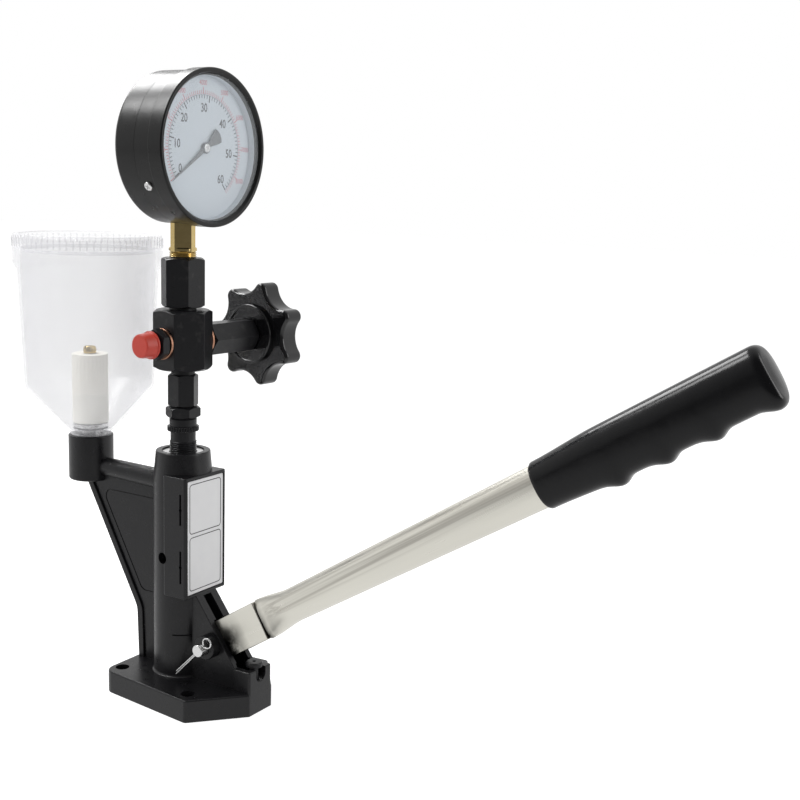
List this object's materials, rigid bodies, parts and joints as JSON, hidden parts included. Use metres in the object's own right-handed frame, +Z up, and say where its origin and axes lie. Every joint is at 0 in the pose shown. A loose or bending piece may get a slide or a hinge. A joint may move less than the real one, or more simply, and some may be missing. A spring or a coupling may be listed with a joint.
{
  "type": "injector tester",
  "caption": "Hand-lever diesel injector tester: cast stand with pump, clear oil cup, shut-off valve with lobed knob, capped outlet and pressure gauge.",
  "frame": {"origin": "on the pump's axis at the underside of the base", "axes": "+Z up along the pump and the gauge stack, +X along the hand lever, +Y towards the valve knob, -X towards the oil cup"},
  "size_m": [0.5446, 0.1373, 0.4266],
  "materials": {
    "casting_black": "black satin paint on a casting",
    "label_white": "plain white label with thin frames",
    "oxide_steel": "black oxide on machined steel",
    "nickel_steel": "nickel plated, brushed along the lever",
    "bright_steel": "turned bright steel",
    "spring_steel": "spring wire",
    "grip_black": "glossy black grip",
    "knob_black": "glossy black moulded knob",
    "copper": "soft copper sealing ring",
    "brass": "machined brass",
    "cap_red": "soft red plastic cap",
    "clear_plastic": "clear moulded plastic",
    "clear_glass": "flat clear glass",
    "filter_cream": "cream pleated filter felt",
    "rubber_black": "black rubber seal",
    "gauge_black": "black painted steel",
    "dial_white": "pale dial with plain numbers",
    "pointer_black": "thin black pointer"
  },
  "bodies": {
    "stand": {"body_casting": "casting_black", "label_plate": "label_white", "stop_screw": "oxide_steel", "duct_plug": "oxide_steel", "lock_nut": "oxide_steel", "lower_adapter": "oxide_steel", "upper_adapter": "oxide_steel", "valve_block": "oxide_steel", "valve_housing": "oxide_steel", "outlet_fitting": "oxide_steel", "valve_holder": "oxide_steel", "pivot_pin": "bright_steel", "cotter_pin": "bright_steel", "pump_barrel": "bright_steel", "clamp_ring": "bright_steel", "delivery_seat": "bright_steel", "case_screw_left": "bright_steel", "case_screw_right": "bright_steel", "cup_union": "bright_steel", "housing_washer": "copper", "outlet_washer": "copper", "gauge_seal": "copper", "filter_screw": "brass", "gauge_stem": "brass", "pressure_tube": "brass", "movement_plate": "brass", "oil_cup": "clear_plastic", "gauge_glass": "clear_glass", "filter_element": "filter_cream", "cup_gasket": "rubber_black", "spindle_seal": "rubber_black", "glass_gasket": "rubber_black", "gauge_case": "gauge_black", "bezel_ring": "gauge_black", "gauge_dial": "dial_white"},
    "lever": {"lever_block": "nickel_steel", "lever_tube": "nickel_steel", "lever_grip": "grip_black"},
    "pump_plunger": {"tappet": "bright_steel", "plunger": "bright_steel", "spring_seat": "bright_steel", "plunger_spring": "spring_steel"},
    "delivery_poppet": {"delivery_valve": "bright_steel", "delivery_spring": "spring_steel"},
    "spindle": {"valve_spindle": "bright_steel"},
    "knob": {"valve_knob": "knob_black", "knob_screw": "bright_steel"},
    "pointer": {"gauge_pointer": "pointer_black", "pointer_pinion": "bright_steel"},
    "sector": {"sector_gear": "brass"},
    "link": {"tip_link": "bright_steel"},
    "red_cap": {"outlet_cap": "cap_red"},
    "lid": {"cup_lid": "clear_plastic"}
  },
  "joints": [
    {"name": "lever_hinge", "type": "hinge", "parent": "stand", "child": "lever", "pos_m": [0.0343, 0, 0.0425], "axis": [0, 1, 0], "range_deg": [0, 17.5], "stiffness_Nm_per_rad": 4, "springref_deg": -34.38},
    {"name": "plunger_slide", "type": "slide", "parent": "stand", "child": "pump_plunger", "axis": [0, 0, 1], "range_m": [0, 0.0117], "deforming": ["plunger_spring"]},
    {"name": "delivery_slide", "type": "slide", "parent": "stand", "child": "delivery_poppet", "axis": [0, 0, 1], "range_m": [0, 0.0015], "stiffness_N_per_m": 800, "springref_m": -0.004, "deforming": ["delivery_spring"]},
    {"name": "spindle_slide", "type": "slide", "parent": "stand", "child": "spindle", "axis": [0.0872, 0.9962, 0], "range_m": [0, 0.00301]},
    {"name": "knob_hinge", "type": "hinge", "parent": "spindle", "child": "knob", "pos_m": [0, 0, 0.2474], "axis": [0.0872, 0.9962, 0], "range_deg": [0, 720]},
    {"name": "pointer_hinge", "type": "hinge", "parent": "stand", "child": "pointer", "pos_m": [0.02, 0, 0.37575], "axis": [-1, 0, 0], "range_deg": [0, 266], "stiffness_Nm_per_rad": 0.0005, "springref_deg": -17.19},
    {"name": "sector_hinge", "type": "hinge", "parent": "stand", "child": "sector", "pos_m": [0.003, 0, 0.36175], "axis": [1, 0, 0], "range_deg": [0, 34.4]},
    {"name": "link_slide", "type": "slide", "parent": "stand", "child": "link", "axis": [0, 1, 0], "range_m": [0, 0.003]},
    {"name": "cap_pull", "type": "slide", "parent": "stand", "child": "red_cap", "axis": [-0.0872, -0.9962, 0], "range_m": [0, 0.03]},
    {"name": "lid_lift", "type": "slide", "parent": "stand", "child": "lid", "axis": [0, 0, 1], "range_m": [0, 0.06]}
  ],
  "couplings": [
    {"joint": "plunger_slide", "follows": "lever_hinge", "m_per_rad": 0.0381},
    {"joint": "spindle_slide", "follows": "knob_hinge", "m_per_rad": 0.000239},
    {"joint": "sector_hinge", "follows": "link_slide", "rad_per_m": 199.6},
    {"joint": "pointer_hinge", "follows": "link_slide", "rad_per_m": 1547}
  ]
}
